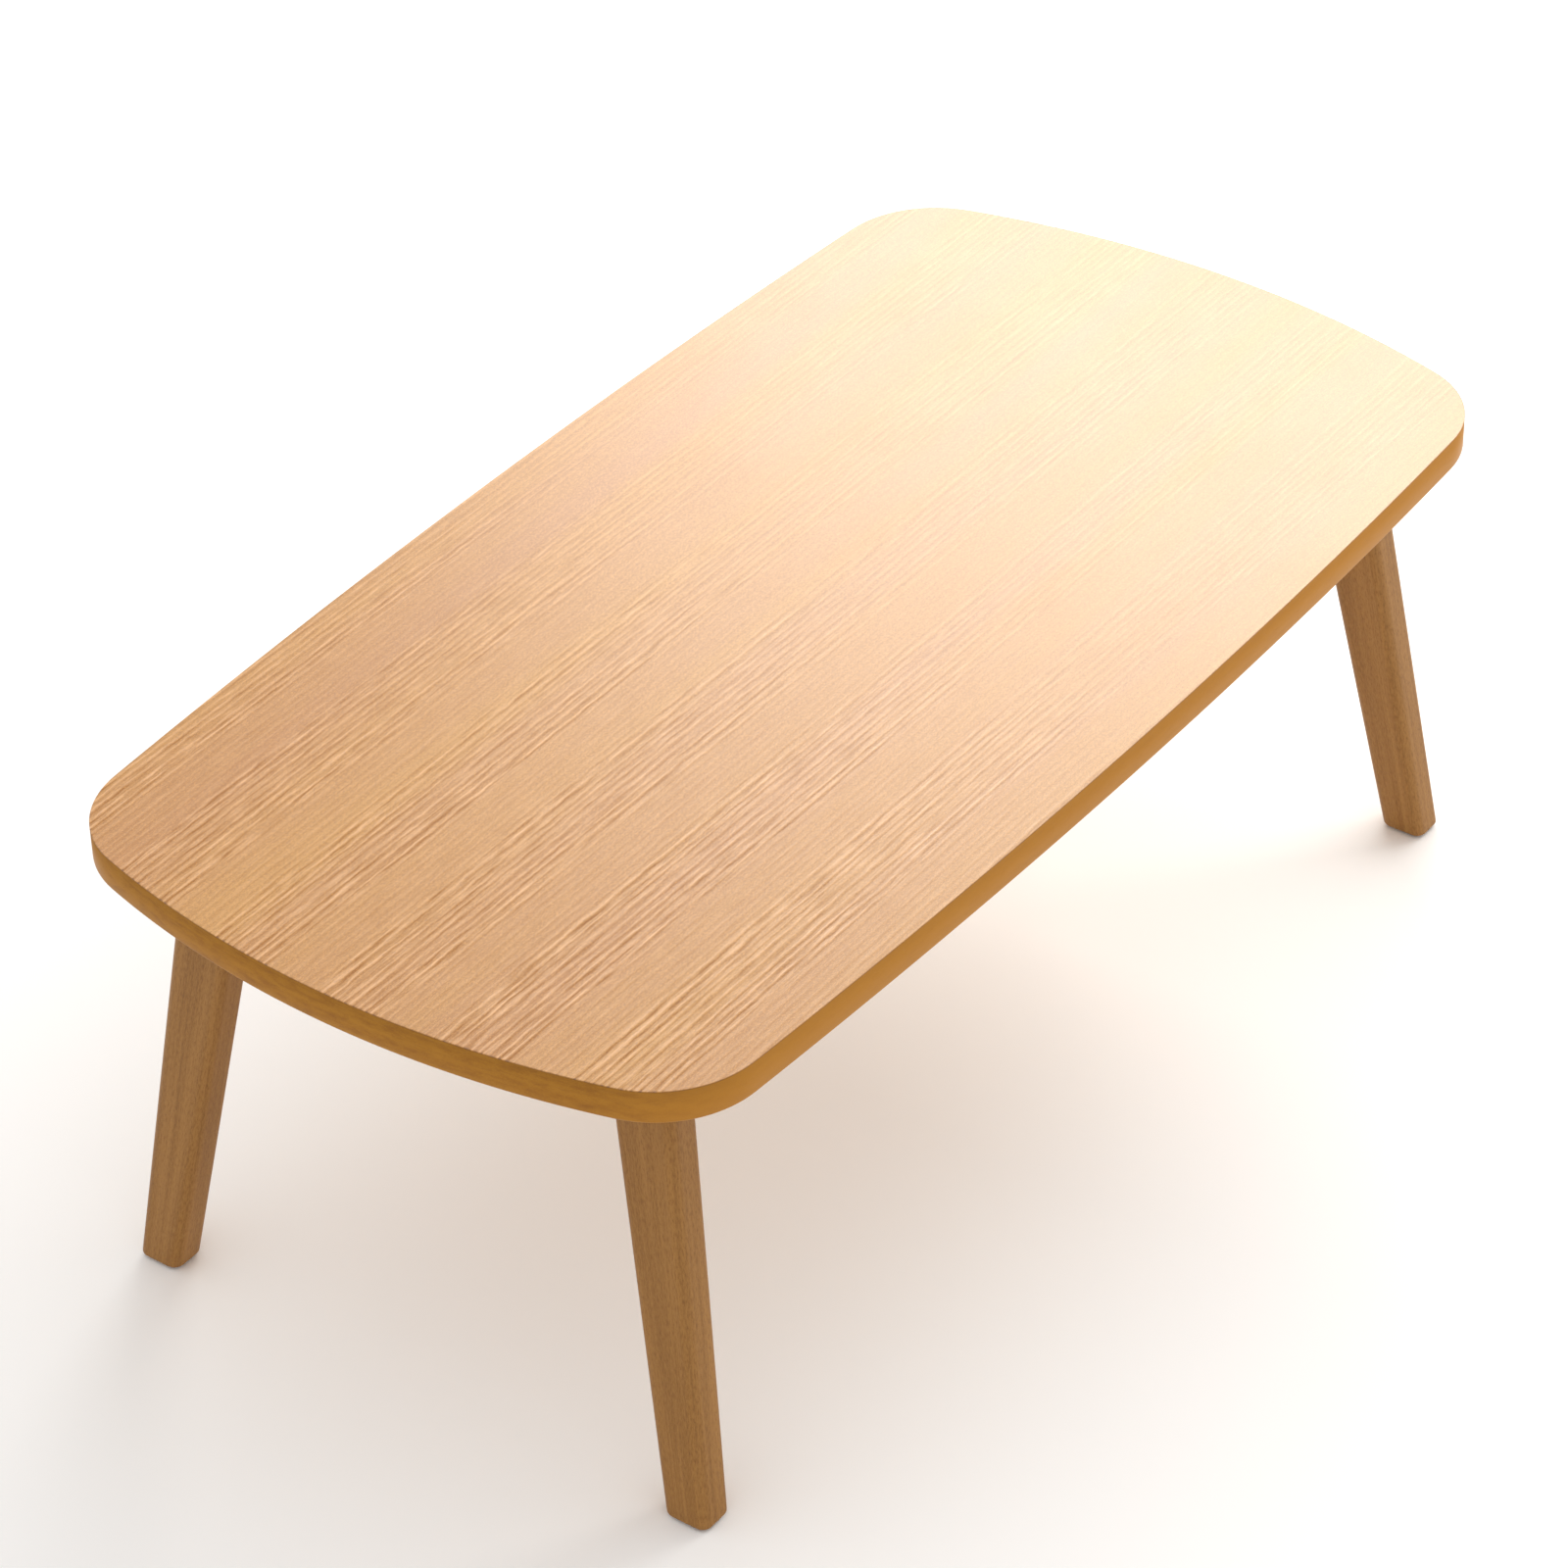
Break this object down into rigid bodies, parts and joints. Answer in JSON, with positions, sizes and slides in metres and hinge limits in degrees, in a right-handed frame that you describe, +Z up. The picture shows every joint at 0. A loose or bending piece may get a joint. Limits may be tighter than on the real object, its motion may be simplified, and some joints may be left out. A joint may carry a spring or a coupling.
{
  "type": "coffee table",
  "caption": "Low oblong coffee table with a bowed, round-cornered wood top on splayed, tapered wooden legs.",
  "frame": {"origin": "on the floor, under the middle of the table", "axes": "+Z up, +X along the length of the top, +Y along its width; front is -Y, left is -X"},
  "size_m": [1.2, 0.6318, 0.435],
  "materials": {
    "core_board": "raw particle board",
    "face_veneer": "light straight grain with brushed relief, satin lacquer",
    "backing": "plain light veneer, matt",
    "lipping_wood": "satin lacquer",
    "leg_wood": "fine lengthwise grain, satin lacquer",
    "pad_rubber": "matt, near black",
    "plate_steel": "black powder coat",
    "screw_steel": "zinc plated",
    "plate_screw_steel": "zinc plated"
  },
  "bodies": {
    "root": {"top_core": "core_board", "top_veneer": "face_veneer", "backing_veneer": "backing", "edge_lipping": "lipping_wood", "leg_front_left": "leg_wood", "foot_pad_front_left": "pad_rubber", "leg_plate_front_left": "plate_steel", "leg_screws_front_left": "screw_steel", "plate_screws_front_left": "plate_screw_steel", "leg_front_right": "leg_wood", "foot_pad_front_right": "pad_rubber", "leg_plate_front_right": "plate_steel", "leg_screws_front_right": "screw_steel", "plate_screws_front_right": "plate_screw_steel", "leg_back_left": "leg_wood", "foot_pad_back_left": "pad_rubber", "leg_plate_back_left": "plate_steel", "leg_screws_back_left": "screw_steel", "plate_screws_back_left": "plate_screw_steel", "leg_back_right": "leg_wood", "foot_pad_back_right": "pad_rubber", "leg_plate_back_right": "plate_steel", "leg_screws_back_right": "screw_steel", "plate_screws_back_right": "plate_screw_steel"}
  },
  "joints": []
}
